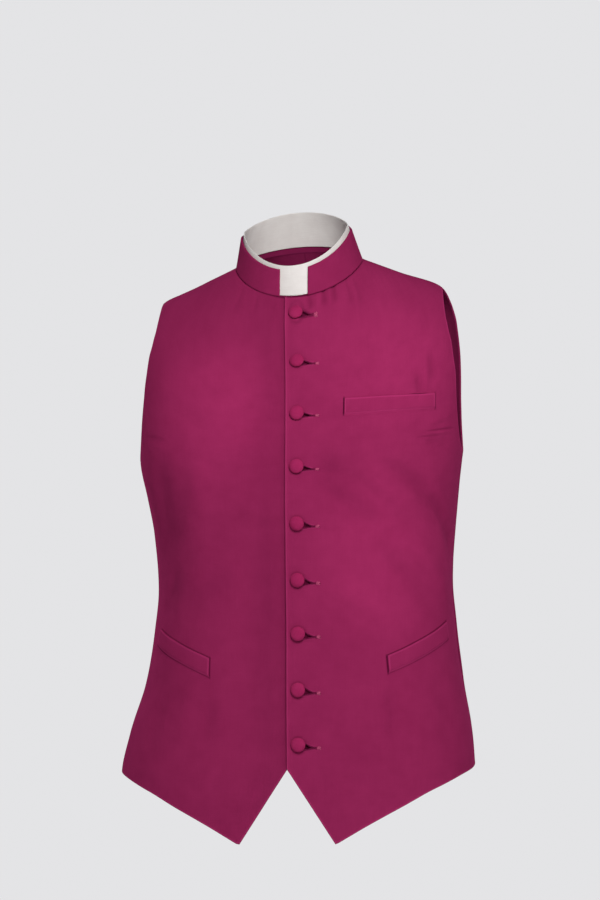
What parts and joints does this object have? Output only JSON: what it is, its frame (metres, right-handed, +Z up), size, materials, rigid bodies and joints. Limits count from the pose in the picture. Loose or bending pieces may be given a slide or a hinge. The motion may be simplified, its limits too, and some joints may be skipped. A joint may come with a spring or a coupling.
{
  "type": "clergy rabat",
  "caption": "Sleeveless waistcoat-style clergy rabat with a standing neckband, white collar showing at the front gap, covered buttons and three welt pockets.",
  "frame": {"origin": "middle of the neck opening at the height of the tops of the shoulders, where the wearer carries the garment", "axes": "+Z up, the front looks along -Y, +X towards the wearer's left"},
  "size_m": [0.4066, 0.2526, 0.716],
  "materials": {
    "rabat_cloth": "fine pressed twill with a soft sheen",
    "button_cloth": "the same twill, stretched over button moulds",
    "collar_white": "stiff starched white linen, smooth"
  },
  "bodies": {
    "root": {"front_left": "rabat_cloth", "front_right": "rabat_cloth", "back_left": "rabat_cloth", "back_right": "rabat_cloth", "neckband": "rabat_cloth", "white_collar": "collar_white", "chest_welt": "rabat_cloth", "hip_welt_left": "rabat_cloth", "hip_welt_right": "rabat_cloth", "button_1": "button_cloth", "button_2": "button_cloth", "button_3": "button_cloth", "button_4": "button_cloth", "button_5": "button_cloth", "button_6": "button_cloth", "button_7": "button_cloth", "button_8": "button_cloth", "button_9": "button_cloth"}
  },
  "joints": []
}
